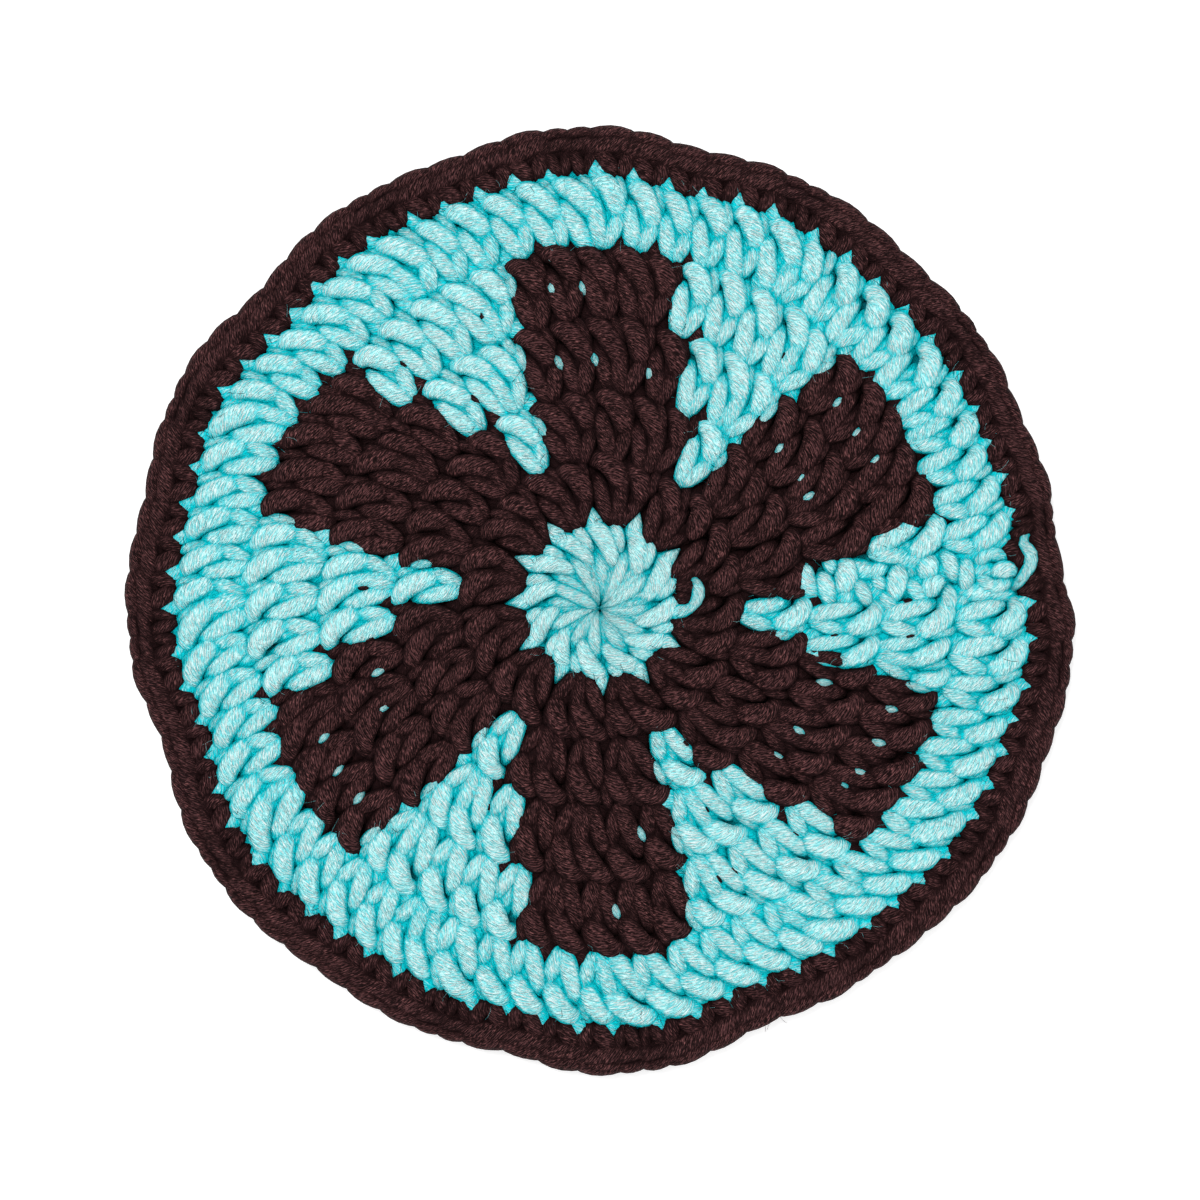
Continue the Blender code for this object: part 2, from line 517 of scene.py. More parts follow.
def make_blank(rings, sides):
    """A closed tube of circles that stand one above the other, mapped round and along."""
    bm = bmesh.new()
    circles = []
    for ring in range(rings):
        made = bmesh.ops.create_circle(bm, segments=sides, radius=1.0,
                                       matrix=Matrix.Translation((0.0, 0.0, ring)))
        circles.append(made["verts"])
    edges = [list({edge for vert in circle for edge in vert.link_edges}) for circle in circles]
    for low, high in zip(edges, edges[1:]):
        bmesh.ops.bridge_loops(bm, edges=low + high)
    bmesh.ops.edgeloop_fill(bm, edges=edges[0])
    bmesh.ops.edgeloop_fill(bm, edges=edges[-1])
    bmesh.ops.recalc_face_normals(bm, faces=bm.faces)
    layer = bm.loops.layers.uv.new(YARN_MAP)
    for face in bm.faces:
        face.smooth = True
        face_turn = turn_of(face.calc_center_median())
        for loop in face.loops:
            turn = turn_of(loop.vert.co)
            if min(turn, 1.0 - turn) < 1e-4:
                turn = 1.0 if face_turn > 0.5 else 0.0
            loop[layer].uv = (turn, loop.vert.co.z)
    mesh = mesh_of(bm, f"blank_{rings}_{sides}")
    co = np.zeros(len(mesh.vertices) * 3)
    mesh.vertices.foreach_get("co", co)
    co = co.reshape(-1, 3)
    uv = np.zeros(len(mesh.loops) * 2)
    mesh.uv_layers[YARN_MAP].data.foreach_get("uv", uv)
    uv = uv.reshape(-1, 2)
    return Blank(mesh, rings, co[:, 0], co[:, 1], np.rint(co[:, 2]).astype(int),
                 uv[:, 0], np.rint(uv[:, 1]).astype(int))


BLANKS = {"long": make_blank(12, 10), "middle": make_blank(9, 10), "short": make_blank(7, 8),
          "plain": make_blank(6, 6), "hair": make_blank(4, 3)}
for name, blank in BLANKS.items():
    print(f"the {name} blank has {len(blank.mesh.polygons)} faces")

# %% [markdown]
# A strand's path is given by a few points only. Straight pieces between them would show as kinks, so
# a smooth curve runs through them, and its widths and thicknesses change along it as smoothly.

# %% A curve through its points
def through(points, count):
    """A smooth row of `count` points through a few given ones (a Catmull-Rom curve)."""
    points = np.asarray(points, dtype=float)
    ends = np.vstack([2 * points[0] - points[1], points, 2 * points[-1] - points[-2]])
    at = np.linspace(0, len(points) - 1, count)
    piece = np.minimum(at.astype(int), len(points) - 2)
    t = (at - piece)[:, None]
    a, b, c, d = (ends[piece + shift] for shift in range(4))
    return 0.5 * (2 * b + (c - a) * t + (2 * a - 5 * b + 4 * c - d) * t ** 2
                  + (3 * b - a - 3 * c + d) * t ** 3)


print("a bow through three points:", through([(0, 0), (1, 1), (2, 0)], 5)[:, 1])

# %% [markdown]
# To know which points lie in a crease, and so take painted shade, every strand is also noted on a
# map of the whole work, seen from above and from below: how high the yarn reaches in each
# quarter-millimetre cell. A point's crest is its height against the mean of the cells around it, less
# a little on a strand's own sides, which take some painted shade too.

# %% The map of heights
class Relief:
    """How high the yarn reaches, and how low, in each cell of a square map."""

    CELL = 0.25 * MM
    HALF = 260
    EMPTY_TOP = 1.2 * MM
    EMPTY_LOW = 1.9 * MM
    SPREAD = 4
    LEVEL = 0.72
    DEPTH = 1.2 * MM

    def __init__(self):
        self.top = np.full((2 * self.HALF, 2 * self.HALF), self.EMPTY_TOP)
        self.low = np.full((2 * self.HALF, 2 * self.HALF), self.EMPTY_LOW)

    def cells(self, points):
        cells = (points[:, :2] / self.CELL).astype(int) + self.HALF
        return tuple(np.clip(cells, 0, 2 * self.HALF - 1).T)

    def note(self, centres, side, widths, heights):
        """Note a strand: places along it and across it, as a row of ellipses."""
        rows = np.column_stack([centres, side, widths, heights])
        count = 4 * len(rows)
        at = np.linspace(0, len(rows) - 1, count)
        fine = np.column_stack([np.interp(at, range(len(rows)), column) for column in rows.T])
        for across in np.linspace(-0.95, 0.95, 9):
            points = fine[:, :3] + fine[:, 3:6] * (fine[:, 6] * across * MM / 2)[:, None]
            rise = fine[:, 7] * math.sqrt(1 - across ** 2) * MM / 2
            cells = self.cells(points)
            np.maximum.at(self.top, cells, points[:, 2] + rise)
            np.minimum.at(self.low, cells, points[:, 2] - rise)

    def smooth(self):
        """Give each cell the mean of the square of cells that reach a millimetre from it."""
        shifts = range(-self.SPREAD, self.SPREAD + 1)
        for name in ("top", "low"):
            field = getattr(self, name)
            for axis in (0, 1):
                field = sum(np.roll(field, shift, axis) for shift in shifts) / len(shifts)
            setattr(self, name, field)

    def crest(self, points):
        """From -1 deep in the holes between strands to 1 high on a strand, over the work or under it. The
        low ones take painted shade.
        """
        cells = self.cells(points)
        above = points[:, 2] - self.top[cells]
        below = self.low[cells] - points[:, 2]
        return np.clip(self.LEVEL + np.maximum(above, below) / self.DEPTH, -1.0, 1.0)


relief_map = Relief()
print(f"the map of heights has {relief_map.top.size:,} cells")

# %% [markdown]
# Strands of one yarn are gathered in a skein, and a skein becomes one piece. It keeps their places
# and maps in plain arrays and writes them into one mesh at the end, for joining three thousand
# objects would take far longer. A skein's shade lift makes the painted shade in its creases paler,
# or deeper below zero.

# %% Skeins
TWIST = 8.0


class Skein:
    """Strands of one yarn that become one piece."""

    SIDE_SHADE = 0.45

    def __init__(self, name, light, seed, shade_lift=0.0):
        self.name = name
        self.light = light
        self.shade_lift = shade_lift
        self.bm = bmesh.new()
        self.chance = np.random.default_rng(seed)
        self.places = []
        self.maps = []
        self.sides = []

    def strand(self, centres, widths, heights, blank, turn=TWIST, noted=True):
        """Lay one strand along its centre line, in metres, with its width and height in
        millimetres at each circle of the blank. The yarn turns once in `turn` millimetres."""
        ahead = np.gradient(centres, axis=0)
        ahead /= np.linalg.norm(ahead, axis=1)[:, None]
        side = np.cross((0.0, 0.0, 1.0), ahead)
        side /= np.linalg.norm(side, axis=1)[:, None]
        up = np.cross(ahead, side)
        ring = blank.vert_ring
        reach = side[ring] * (blank.vert_cos * widths[ring] * MM / 2)[:, None]
        rise = up[ring] * (blank.vert_sin * heights[ring] * MM / 2)[:, None]
        points = centres[ring] + reach + rise
        points[:, 2] = np.maximum(points[:, 2], 0.0)
        run = np.concatenate([[0.0], np.cumsum(np.linalg.norm(np.diff(centres, axis=0), axis=1))])
        run = run[blank.loop_ring] / MM
        self.bm.from_mesh(blank.mesh, face_normals=False, vertex_normals=False)
        self.places.append(points)
        self.sides.append(1.0 - np.abs(blank.vert_sin))
        self.maps.append(np.stack([blank.loop_u + run / turn, run + self.chance.uniform(0, 200)],
                                  axis=-1))
        if noted:
            relief_map.note(centres, side, widths, heights)

    def piece(self):
        """Turn the strands into an object of the scene."""
        mesh = mesh_of(self.bm, self.name)
        points = np.concatenate(self.places)
        mesh.vertices.foreach_set("co", points.ravel())
        mesh.uv_layers[YARN_MAP].data.foreach_set("uv", np.concatenate(self.maps).ravel())
        # The crest sets the painted shade: creases and holes go deep, a strand's sides take some painted
        # shade, and the skein's lift makes all of it paler or deeper.
        crest = relief_map.crest(points) + self.shade_lift
        crest = crest - self.SIDE_SHADE * np.concatenate(self.sides) ** 2
        mesh.attributes.new(CREST, "FLOAT", "POINT").data.foreach_set("value", crest)
        mesh.update()
        mesh.materials.append(FINISHES[self.light])
        obj = put(self.name, mesh)
        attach(obj, "root")
        triangles = sum(len(polygon.vertices) - 2 for polygon in mesh.polygons)
        print(f"{self.name}: {len(self.places)} strands, {triangles:,} triangles")
        return obj


print(f"the yarn turns once in {TWIST} mm, and a skein takes {len(BLANKS)} kinds of strand")

# %% [markdown]
# ## A tall stitch
#
# Each stitch is a tall one: the hook wraps the yarn once before it goes in, so the stitch stands
# eight or nine millimetres high. From the front it shows two legs that run together at the foot, a
# fat strand that wraps them on the slant, and the back of its top loop behind. A narrow spike of the
# top loop sticks up between the legs of the next round.
#
# A row below is a point of a strand: how far across the stitch it lies (0 at its left, 1 at its
# right), how far up (0 at the foot, 1 at the top), the height of its middle above the table, its
# width and its thickness, the last three in millimetres.

# %% The strands of a tall stitch
LEFT_LEG = [(0.10, 0.71, 1.4, 1.3, 1.4), (0.11, 0.64, 2.3, 2.0, 1.8), (0.15, 0.54, 2.8, 2.4, 2.1),
            (0.20, 0.43, 2.95, 2.6, 2.2), (0.28, 0.30, 3.05, 2.8, 2.2), (0.37, 0.16, 3.0, 3.0, 2.2),
            (0.46, 0.05, 2.9, 3.0, 2.0), (0.52, -0.02, 2.7, 2.5, 1.8), (0.56, -0.07, 2.4, 1.4, 1.3)]
RIGHT_LEG = [(0.97, 0.56, 1.8, 1.7, 1.6), (0.94, 0.43, 2.6, 2.3, 1.9), (0.88, 0.30, 2.95, 2.6, 2.1),
             (0.79, 0.17, 3.05, 2.7, 2.1), (0.69, 0.05, 2.9, 2.6, 1.9), (0.61, -0.02, 2.6, 2.1, 1.6),
             (0.56, -0.06, 2.3, 1.2, 1.2)]
WRAP = [(-0.08, 0.86, 1.7, 1.7, 1.6), (0.07, 0.89, 2.4, 2.3, 1.9), (0.24, 0.89, 2.9, 2.6, 2.1),
        (0.42, 0.85, 3.1, 2.8, 2.2), (0.60, 0.75, 3.2, 3.0, 2.3), (0.75, 0.63, 3.1, 3.0, 2.3),
        (0.87, 0.51, 2.7, 2.8, 2.1), (0.94, 0.40, 2.0, 2.1, 1.6)]
CORE = [(0.58, 0.70, 1.8, 1.8, 1.8), (0.58, 0.55, 2.3, 2.2, 2.0), (0.59, 0.38, 2.55, 2.2, 2.0),
        (0.60, 0.20, 2.3, 2.0, 1.9), (0.60, 0.05, 1.8, 1.4, 1.6)]
SIDE_CORE = [(1.02, 0.88, 1.7, 1.6, 1.7), (1.00, 0.62, 2.0, 2.2, 1.8), (0.98, 0.36, 2.1, 2.2, 1.8),
             (0.97, 0.10, 1.7, 1.8, 1.6)]
TOP_BACK = [(0.68, 1.01, 1.8, 1.1, 1.4), (0.77, 0.94, 2.5, 1.5, 1.8), (0.86, 0.84, 2.8, 1.6, 1.9),
            (0.94, 0.73, 2.8, 1.6, 1.9), (1.00, 0.61, 2.5, 1.4, 1.8), (1.03, 0.51, 1.8, 1.0, 1.4)]
SPIKE = [(0.28, 0.86, 1.8, 2.3, 1.6), (0.16, 0.97, 2.5, 2.9, 1.9), (0.06, 1.08, 2.6, 2.5, 1.8),
         (0.00, 1.18, 2.45, 1.6, 1.4), (-0.02, 1.29, 2.1, 0.35, 0.9)]
TOP_BAR = [(-0.15, 1.00, 1.6, 1.8, 1.7), (0.30, 1.01, 1.9, 2.0, 1.8), (0.70, 1.01, 1.9, 2.0, 1.8),
           (1.15, 1.00, 1.6, 1.8, 1.7)]
BACK_LEG = [(0.30, -0.05, 1.3, 1.6, 1.8), (0.24, 0.25, 1.0, 2.0, 2.0), (0.20, 0.55, 1.0, 2.0, 2.0),
            (0.16, 0.85, 1.3, 1.7, 1.8)]
BACK_WRAP = [(0.02, 0.80, 1.3, 1.8, 1.8), (0.35, 0.66, 1.0, 2.4, 2.0), (0.68, 0.50, 1.0, 2.4, 2.0),
             (0.98, 0.36, 1.3, 1.8, 1.8)]
BACK_POST = [(0.62, -0.05, 1.3, 1.6, 1.8), (0.66, 0.20, 1.1, 2.0, 2.0), (0.72, 0.42, 1.2, 1.8, 1.8)]
BACK_BAR = [(-0.10, 0.88, 1.1, 2.2, 2.0), (0.50, 0.92, 1.1, 2.6, 2.1), (1.10, 0.88, 1.1, 2.2, 2.0)]

FRONT = [(LEFT_LEG, "middle"), (RIGHT_LEG, "short"), (WRAP, "long"), (TOP_BACK, "short"),
         (TOP_BAR, "plain"), (CORE, "plain"), (SIDE_CORE, "plain")]
BACK = [(BACK_LEG, "plain"), (BACK_WRAP, "plain"), (BACK_POST, "plain"), (BACK_BAR, "plain")]
print(len(FRONT), "strands in front,", len(BACK), "behind, and a spike")

# %% [markdown]
# The stitches of the first round all stand in the drawn-up ring. With twelve in a turn the usual
# strands would cross each other, so its legs are fat lenses that run to the knot, and its wraps lie
# round them like the blades of a fan.

# %% The strands of the first round
LENS_LEFT = [(0.10, 0.70, 1.6, 1.3, 1.5), (0.18, 0.56, 2.4, 2.3, 2.0), (0.30, 0.36, 2.8, 2.9, 2.2),
             (0.42, 0.17, 2.85, 3.5, 2.2), (0.50, 0.04, 2.75, 3.6, 2.0), (0.52, -0.08, 2.4, 2.2, 1.6)]
LENS_RIGHT = [(0.96, 0.66, 1.5, 1.5, 1.6), (0.92, 0.50, 2.2, 2.2, 1.9), (0.88, 0.30, 2.6, 2.8, 2.1),
              (0.94, 0.13, 2.75, 3.2, 2.0), (1.00, 0.00, 2.5, 2.6, 1.8)]
FIRST_WRAP = [(-0.10, 0.96, 1.8, 1.6, 1.5), (0.03, 0.93, 2.6, 2.2, 2.0), (0.19, 0.87, 3.0, 2.5, 2.1),
              (0.37, 0.77, 3.15, 2.6, 2.2), (0.55, 0.65, 3.1, 2.6, 2.1), (0.71, 0.54, 2.8, 2.4, 2.0),
              (0.84, 0.45, 2.2, 1.8, 1.6)]
FIRST_BACK = [(0.48, 1.00, 1.9, 1.2, 1.5), (0.57, 0.95, 2.7, 1.7, 1.8), (0.68, 0.86, 2.95, 1.9, 2.0),
              (0.79, 0.75, 2.8, 1.8, 1.9), (0.88, 0.65, 2.2, 1.3, 1.4)]
FIRST_SPIKE = [(0.10, 0.91, 2.2, 2.5, 1.5), (0.07, 0.99, 2.8, 2.5, 1.6), (0.04, 1.06, 2.9, 2.0, 1.5),
               (0.02, 1.14, 2.8, 1.2, 1.2), (0.00, 1.24, 2.5, 0.3, 0.8)]
FIRST_FRONT = [(LENS_LEFT, "middle"), (LENS_RIGHT, "short"), (FIRST_WRAP, "long"),
               (FIRST_BACK, "short"), (TOP_BAR, "plain"), (CORE, "plain"), (SIDE_CORE, "plain")]
print(len(FIRST_FRONT), "strands in front of a stitch of the first round")

# %% [markdown]
# The rows are shares of a stitch, so one function can lay any strand in any stitch. It makes the
# strand thinner where the stitches crowd.

# %% Lay a strand in a stitch
USUAL_WIDTH = 4.6
PLUMP = 1.07


def stitch_strand(skein, stitch, shape, blank_name, shift=(0.0, 0.0, 0.0), turn=TWIST, sag=0.0):
    """Place one strand of a stitch: the stitch leans from its foot to its top, and narrows where
    the clock is narrow. A wrap may sag towards the foot at its right end."""
    blank = BLANKS[blank_name]
    rows = through(shape, blank.rings)
    across, upward = rows[:, 0] + shift[0], rows[:, 1] + shift[1]
    upward = upward - sag * np.clip(across, 0.0, 1.0)
    height, width, thick = rows[:, 2] + shift[2], rows[:, 3], rows[:, 4]
    step = stitch.right - stitch.left
    lean = (stitch.foot - stitch.middle) * np.clip(1.0 - upward, -0.1, 1.1)
    degrees = stitch.middle + lean + (across - 0.5) * step
    radius = stitch.low + (stitch.high - stitch.low) * upward
    room = np.radians(step) * np.maximum(radius, 0.6)
    squeeze = np.minimum(1.0, (room / USUAL_WIDTH) ** 0.75)
    centres = clock_points(radius, degrees, height)
    thick = thick * np.minimum(1.0, squeeze ** 0.4)
    skein.strand(centres, width * PLUMP * squeeze, thick, blank, turn)


def small_shift(chance, amount=1.0):
    """A shift across and up a stitch, in shares of it, and in height, in millimetres."""
    return chance.normal(0.0, (0.018 * amount, 0.012 * amount, 0.06 * amount))


print(f"strands are laid for stitches {USUAL_WIDTH} mm wide")

# %% [markdown]
# ## The six rounds of tall stitches
#
# The strands go into one piece for each round and yarn, so a piece stays small enough to handle. The
# spike of a stitch is the tail end of the stitch worked before it, so it takes that one's colour:
# that is where the little notches beside the light wedges come from. One stitch of the first round
# has none, for a loose end of the yarn comes out there.
#
# The wraps don't all slant alike: they sag more on one side of the coaster than on the other. The
# first round and the dark yarn were worked more loosely, so their strands stray more. And in the
# second to fourth rounds, a spike between two stitches of one yarn lies lower and is half hidden.

# %% Work the rounds
LOOSE_END_AT = 2
# The painted shade in the first round's creases is kept paler, and in the sixth a little deeper.
SHADE_LIFTS = {"first": 0.17, "sixth": -0.05}
SAG_MEAN, SAG_SWING, SAG_TOWARDS, SAG_SPREAD = 0.02, 0.07, 310, 0.045
NEAT, LOOSE = 1.2, 2.0
TUCKED_ROUNDS = (1, 2, 3)
TUCKED = -0.45
all_skeins = []
for number, (round_, stitches) in enumerate(zip(ROUNDS, layout)):
    skeins = {}
    for index, stitch in enumerate(stitches):
        for light in (stitch.light, stitch.before_light):
            if light not in skeins:
                tone = "light" if light else "dark"
                shade_lift = SHADE_LIFTS.get(round_.name, 0.0)
                skeins[light] = Skein(f"{round_.name}_round_{tone}", light, 100 + number, shade_lift)
        own = skeins[stitch.light]
        shift = small_shift(own.chance)
        if (number, index) in UNDER_THE_SEAM:
            for shape, blank_name in BACK:
                stitch_strand(own, stitch, shape, blank_name)
            continue
        sag_here = SAG_MEAN + SAG_SWING * math.cos(math.radians(stitch.left - SAG_TOWARDS))
        sag = own.chance.normal(sag_here, SAG_SPREAD)
        for shape, blank_name in FRONT if number else FIRST_FRONT:
            if shape is SIDE_CORE and stitch.light != stitch.after_light:
                continue
            stray = small_shift(own.chance, NEAT if number and stitch.light else LOOSE)
            stitch_strand(own, stitch, shape, blank_name, shift + stray,
                          sag=sag if shape is WRAP else 0.0)
        for shape, blank_name in BACK:
            stitch_strand(own, stitch, shape, blank_name)
        if number == 0 and index == LOOSE_END_AT:
            continue
        spike = SPIKE if number else FIRST_SPIKE
        tucked = number in TUCKED_ROUNDS and stitch.before_light == stitch.light
        lower = (0.0, 0.0, TUCKED if tucked else 0.0)
        stitch_strand(skeins[stitch.before_light], stitch, spike, "short", shift + lower)
    all_skeins += skeins.values()
print(sum(len(skein.places) for skein in all_skeins), "strands in", len(all_skeins), "skeins")

# %% [markdown]
# ## The seam
#
# A round worked in the round has to be joined and the next one started: a slip stitch and a short
# chain climb to the new height. That column looks unlike the stitches beside it, a stack of slanting
# loops with one open ring near the edge, and the loose ends of the light yarn curl out of it. Its
# strands are listed here: a row is a clock angle, a distance from the middle and a width, and each
# strand is given the height it rises to. The last seven lie lower and fill the gaps between the others.

# %% Lay the seam
SEAM = [
    (2.9, [(79.1, 25.9, 0.5), (81.5, 26.0, 1.6), (84.5, 25.9, 2.2), (87.5, 26.4, 2.1), (90.6, 27.8, 0.7)]),
    (2.9, [(83.0, 27.9, 0.9), (85.0, 28.2, 2.0), (87.5, 28.5, 2.2), (90.0, 28.9, 1.8), (91.9, 29.2, 0.8)]),
    (2.6, [(79.0, 28.9, 0.9), (80.5, 29.2, 1.6), (82.5, 29.4, 1.4), (84.0, 29.7, 0.8)]),
    (3.0, [(80.3, 30.6, 1.0), (82.0, 31.2, 2.0), (84.5, 31.1, 2.5), (87.0, 30.5, 2.2), (88.7, 30.0, 1.0)]),
    (2.7, [(91.0, 29.3, 0.8), (90.1, 30.3, 1.8), (89.0, 31.2, 1.9), (87.8, 31.9, 1.0)]),
    (3.0, [(84.9, 31.9, 0.7), (86.5, 32.4, 1.5), (88.5, 33.0, 1.8), (90.3, 33.5, 1.3), (91.3, 33.6, 0.6)]),
    (2.6, [(83.6, 32.1, 0.7), (84.5, 32.8, 1.0), (85.1, 33.3, 0.5)]),
    (2.7, [(83.4, 36.5, 0.9), (83.6, 35.5, 1.7), (84.3, 34.7, 1.7), (85.2, 34.1, 0.9)]),
    (2.7, [(88.3, 36.0, 0.8), (87.1, 35.4, 1.6), (85.9, 34.9, 1.6), (84.9, 34.2, 0.9)]),
    (2.7, [(88.2, 35.5, 0.9), (89.5, 35.9, 1.8), (91.3, 36.6, 1.9), (92.5, 37.1, 0.8)]),
    (3.0, [(82.9, 37.6, 0.9), (85.0, 37.6, 2.2), (87.5, 37.2, 2.3), (89.5, 36.9, 1.5), (90.5, 36.7, 0.7)]),
    (2.5, [(83.2, 39.4, 0.7), (85.0, 39.3, 1.4), (86.9, 39.2, 0.8)]),
    (2.9, [(86.0, 38.5, 0.8), (87.5, 39.2, 1.8), (89.2, 40.2, 1.9), (90.5, 41.4, 1.0)]),
    (2.8, [(81.6, 41.4, 1.1), (83.5, 41.5, 2.4), (85.3, 41.2, 2.4), (86.8, 40.8, 1.0)]),
    (3.0, [(87.0, 43.4, 0.9), (87.0, 42.3, 2.0), (88.0, 41.2, 2.2), (89.2, 40.4, 1.0)]),
    (2.9, [(81.4, 43.1, 1.0), (83.5, 44.0, 1.9), (85.5, 44.4, 1.8), (87.2, 45.1, 0.8)]),
    (2.6, [(82.8, 42.6, 0.8), (85.0, 43.2, 1.5), (86.9, 44.2, 0.9)]),
    (2.9, [(87.4, 43.4, 0.9), (89.5, 43.9, 1.9), (91.7, 43.5, 1.7), (93.0, 43.1, 0.8)]),
    (2.9, [(82.9, 46.2, 1.0), (85.0, 46.1, 1.9), (87.0, 46.0, 1.8), (88.9, 45.7, 0.9)]),
    (2.8, [(85.5, 51.0, 0.8), (83.8, 50.6, 1.7), (83.1, 49.2, 1.8), (84.1, 47.9, 1.6), (85.8, 47.6, 0.9)]),
    (2.8, [(85.2, 47.6, 1.0), (87.0, 48.1, 1.7), (88.0, 49.4, 1.8), (87.4, 51.0, 1.6), (86.5, 52.1, 0.8)]),
    (3.2, [(86.3, 52.6, 0.7), (85.8, 51.4, 1.8), (85.8, 50.2, 1.8), (86.4, 49.1, 0.8)]),
    (2.3, [(82.2, 30.0, 1.2), (83.0, 32.0, 2.4), (84.0, 34.5, 2.0), (83.0, 37.0, 1.6)]),
    (2.3, [(87.0, 26.5, 1.2), (87.8, 30.0, 2.4), (88.2, 34.0, 2.6), (88.5, 37.5, 2.0)]),
    (2.3, [(82.2, 35.5, 1.4), (82.4, 38.0, 2.4), (82.8, 41.0, 2.4), (83.2, 44.5, 2.0)]),
    (2.3, [(88.6, 36.0, 1.4), (88.0, 38.5, 2.4), (87.2, 41.0, 2.4), (88.8, 44.5, 2.0)]),
    (2.3, [(82.6, 44.0, 1.4), (82.6, 46.5, 2.4), (82.4, 49.5, 2.2), (82.6, 52.0, 1.6)]),
    (2.3, [(88.6, 43.5, 1.4), (88.8, 46.5, 2.4), (89.0, 49.5, 2.2), (89.2, 52.4, 1.6)]),
    (2.3, [(85.4, 44.5, 1.4), (85.6, 46.5, 2.0), (85.6, 49.0, 2.0), (86.0, 52.0, 1.6)]),
]


LAID_WIDE, LAID_THICK, THICKEST = 1.3, 1.1, 2.2


def laid_points(rows, heights):
    """Points that keep their own distance from the middle, whatever the rim does."""
    angle = np.radians(rows[:, 0])
    return np.stack([rows[:, 1] * np.sin(angle), rows[:, 1] * np.cos(angle), heights], axis=-1) * MM


def laid_strand(skein, rows, height, blank_name="middle", drop=1.1):
    """Lay a strand from listed rows. It rises to its height in the middle and dives at both ends."""
    blank = BLANKS[blank_name]
    rows = through(rows, blank.rings)
    rise = np.sin(np.linspace(0.0, math.pi, blank.rings)) ** 0.6
    centres = laid_points(rows, height - drop * (1.0 - rise))
    thick = np.minimum(rows[:, 2] * LAID_THICK, THICKEST)
    skein.strand(centres, rows[:, 2] * LAID_WIDE, thick, blank)


seam = Skein("seam", True, 210)
for height, rows in SEAM:
    laid_strand(seam, rows, height)
all_skeins.append(seam)
print(len(SEAM), "strands laid by hand")

# %% [markdown]
# ## Two loose ends
#
# Where the light yarn was joined in, its ends were never darned away. One lies in a hook beside the
# middle, the other makes a little arch over the last light round, and behind each shows a strand of
# the dark yarn. A third light strand lies across the knot in the middle.

# %% Lay the loose ends
HOOK = [(99.6, 9.2, 1.7), (98.6, 10.0, 1.6), (96.6, 10.9, 1.2), (93.8, 11.6, 1.0), (89.0, 12.2, 1.3),
        (84.0, 12.4, 1.3), (79.8, 12.3, 0.9), (77.0, 11.9, 0.6), (76.6, 11.4, 0.35)]
ARCH = [(81.0, 54.8, 0.5), (81.5, 53.9, 0.9), (82.5, 53.6, 1.1), (83.6, 54.2, 1.4), (84.9, 54.2, 1.4),
        (86.0, 53.7, 1.3), (87.2, 52.9, 1.2), (88.4, 51.8, 0.8)]
UNDER_HOOK = [(88.0, 9.2, 1.0), (89.0, 10.2, 1.9), (90.0, 11.5, 2.0), (90.0, 12.8, 1.2)]
ACROSS_KNOT = [(286.5, 6.6, 0.6), (285.0, 5.0, 1.3), (279.0, 3.1, 1.5), (262.0, 1.7, 1.4),
               (215.0, 0.9, 0.8)]
UNDER_ARCH = [(82.2, 50.3, 0.7), (82.6, 51.5, 2.0), (83.3, 52.5, 2.6), (83.9, 53.4, 1.6)]

ends = Skein("loose_ends", True, 211)
laid_strand(ends, HOOK, 3.9, "long", 1.2)
laid_strand(ends, ARCH, 3.5, "long", 1.1)
laid_strand(ends, ACROSS_KNOT, 3.5, "long", 1.0)
under = Skein("under_ends", False, 212)
laid_strand(under, UNDER_ARCH, 2.5)
laid_strand(under, UNDER_HOOK, 2.9)
all_skeins += [ends, under]
print(len(ends.places), "light strands, and", len(under.places), "dark ones behind them")

# %% [markdown]
# ## Where the colours meet
#
# Two things give this work away as done by hand in two colours. The last light loop before a dark
# stitch pokes out beside that stitch's post, and again at its foot. And the light yarn, carried
# inside the dark stitches, peeps through at the joints of some of them as a small bright fleck, as
# the dark yarn does in the light wedges.

# %% Slivers and flecks
SLIVER = [(0.03, 0.84, 2.2, 0.8, 1.4), (0.02, 0.72, 3.0, 1.5, 1.8), (0.04, 0.58, 3.2, 1.5, 1.7),
          (0.08, 0.45, 3.0, 1.0, 1.3), (0.12, 0.36, 2.4, 0.3, 0.8)]
FOOT_LOOP = [(0.06, 0.10, 1.6, 0.9, 1.3), (0.16, 0.03, 2.3, 1.4, 1.6), (0.27, -0.03, 2.3, 1.2, 1.5),
             (0.34, -0.07, 1.8, 0.5, 1.0)]
FLECK = [(0.01, 0.47, 2.9, 0.6, 0.9), (0.03, 0.41, 3.4, 1.05, 1.2), (0.06, 0.35, 3.45, 1.05, 1.2),
         (0.09, 0.29, 3.0, 0.5, 0.8)]
DARK_FLECK = [(-0.03, 0.45, 2.6, 0.4, 0.8), (0.00, 0.39, 3.15, 0.9, 1.1), (0.04, 0.32, 3.2, 0.9, 1.1),
              (0.07, 0.26, 2.6, 0.4, 0.8)]

FLECK_SHARE = 0.5
joins = {True: Skein("light_joins", True, 200), False: Skein("dark_joins", False, 201)}
chance = np.random.default_rng(17)
for number, stitches in enumerate(layout[2:5], start=2):
    for index, stitch in enumerate(stitches):
        if stitch.before_light and not stitch.light:
            stitch_strand(joins[True], stitch, SLIVER, "short", small_shift(chance))
            stitch_strand(joins[True], stitch, FOOT_LOOP, "short", small_shift(chance))
        elif not stitch.light and number > 2 and chance.random() < FLECK_SHARE:
            stitch_strand(joins[True], stitch, FLECK, "plain", small_shift(chance, LOOSE))
        elif stitch.light and chance.random() < FLECK_SHARE:
            stitch_strand(joins[False], stitch, DARK_FLECK, "plain", small_shift(chance, LOOSE))
all_skeins += joins.values()
print(len(joins[True].places), "light strands and", len(joins[False].places), "dark ones at the joints")

